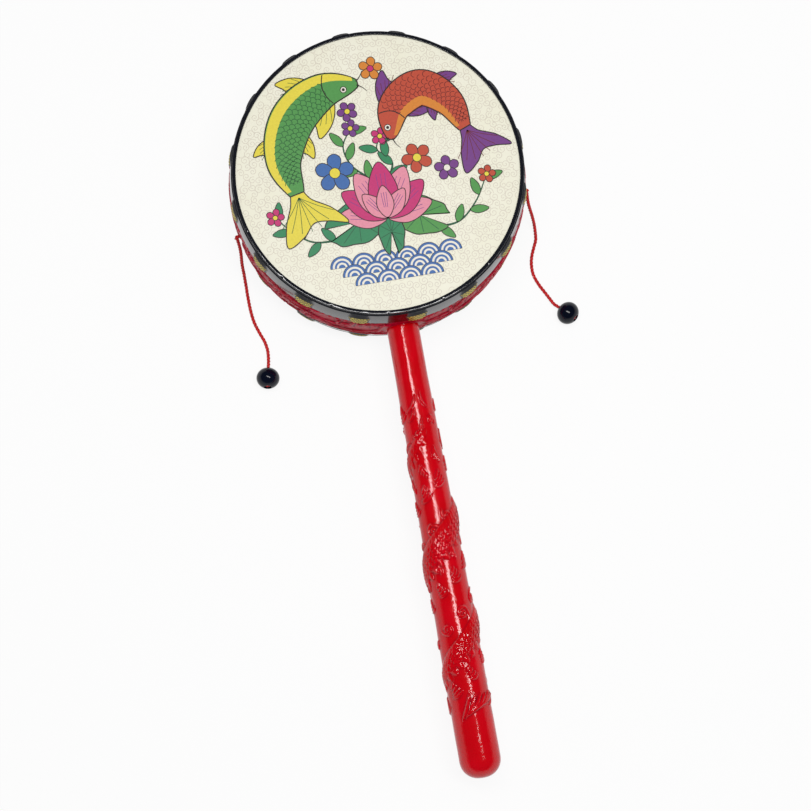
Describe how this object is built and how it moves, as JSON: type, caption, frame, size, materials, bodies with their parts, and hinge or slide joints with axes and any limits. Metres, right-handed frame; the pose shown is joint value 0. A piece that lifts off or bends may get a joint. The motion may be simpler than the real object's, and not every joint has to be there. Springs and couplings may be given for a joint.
{
  "type": "pellet drum rattle",
  "caption": "Pellet drum rattle: a shallow bellied drum with studded hoops on a long relief-moulded handle; beads on cords swing round and beat its heads when it is twirled.",
  "frame": {"origin": "midway along the whole rattle, under the drum's axis, on the plane that the back hoop rests on", "axes": "+Z is the front head's normal and is up with the drum on its back hoop; +Y runs along the handle towards the drum; +X is to the right in the front view"},
  "size_m": [0.1361, 0.299, 0.044],
  "materials": {
    "red_plastic": "glossy crimson moulded plastic",
    "black_plastic": "glossy black moulded plastic",
    "head_film": "cream film, satin, printed",
    "cord": "twisted red cord"
  },
  "bodies": {
    "drum": {"shell": "red_plastic", "front_hoop": "black_plastic", "back_hoop": "black_plastic", "front_head": "head_film", "back_head": "head_film", "handle": "red_plastic", "left_anchor": "cord", "right_anchor": "cord"},
    "left_root": {"left_cord_lead": "cord"},
    "left_cord": {"left_cord_upper": "cord"},
    "left_striker": {"left_cord_lower": "cord", "left_pellet": "black_plastic", "left_end_knot": "cord"},
    "right_root": {"right_cord_lead": "cord"},
    "right_cord": {"right_cord_upper": "cord"},
    "right_striker": {"right_cord_lower": "cord", "right_pellet": "black_plastic", "right_end_knot": "cord"}
  },
  "joints": [
    {"name": "left_sweep", "type": "hinge", "parent": "drum", "child": "left_root", "pos_m": [-0.06008, 0.07782, 0.022], "axis": [0, 0, -1], "range_deg": [0, 75]},
    {"name": "left_swing", "type": "hinge", "parent": "left_root", "child": "left_cord", "pos_m": [-0.06008, 0.07782, 0.022], "axis": [-0.9996, -0.0274, 0], "range_deg": [-30, 142]},
    {"name": "left_fold", "type": "hinge", "parent": "left_cord", "child": "left_striker", "pos_m": [-0.0597, 0.0641, 0.0013], "axis": [-0.9996, -0.0274, 0], "range_deg": [-152, 31]},
    {"name": "right_sweep", "type": "hinge", "parent": "drum", "child": "right_root", "pos_m": [0.06008, 0.07782, 0.022], "axis": [0, 0, 1], "range_deg": [0, 75]},
    {"name": "right_swing", "type": "hinge", "parent": "right_root", "child": "right_cord", "pos_m": [0.06008, 0.07782, 0.022], "axis": [-0.9719, -0.2354, 0], "range_deg": [-30, 142]},
    {"name": "right_fold", "type": "hinge", "parent": "right_cord", "child": "right_striker", "pos_m": [0.0634, 0.0641, 0.0013], "axis": [-0.9719, -0.2354, 0], "range_deg": [-152, 29]}
  ]
}
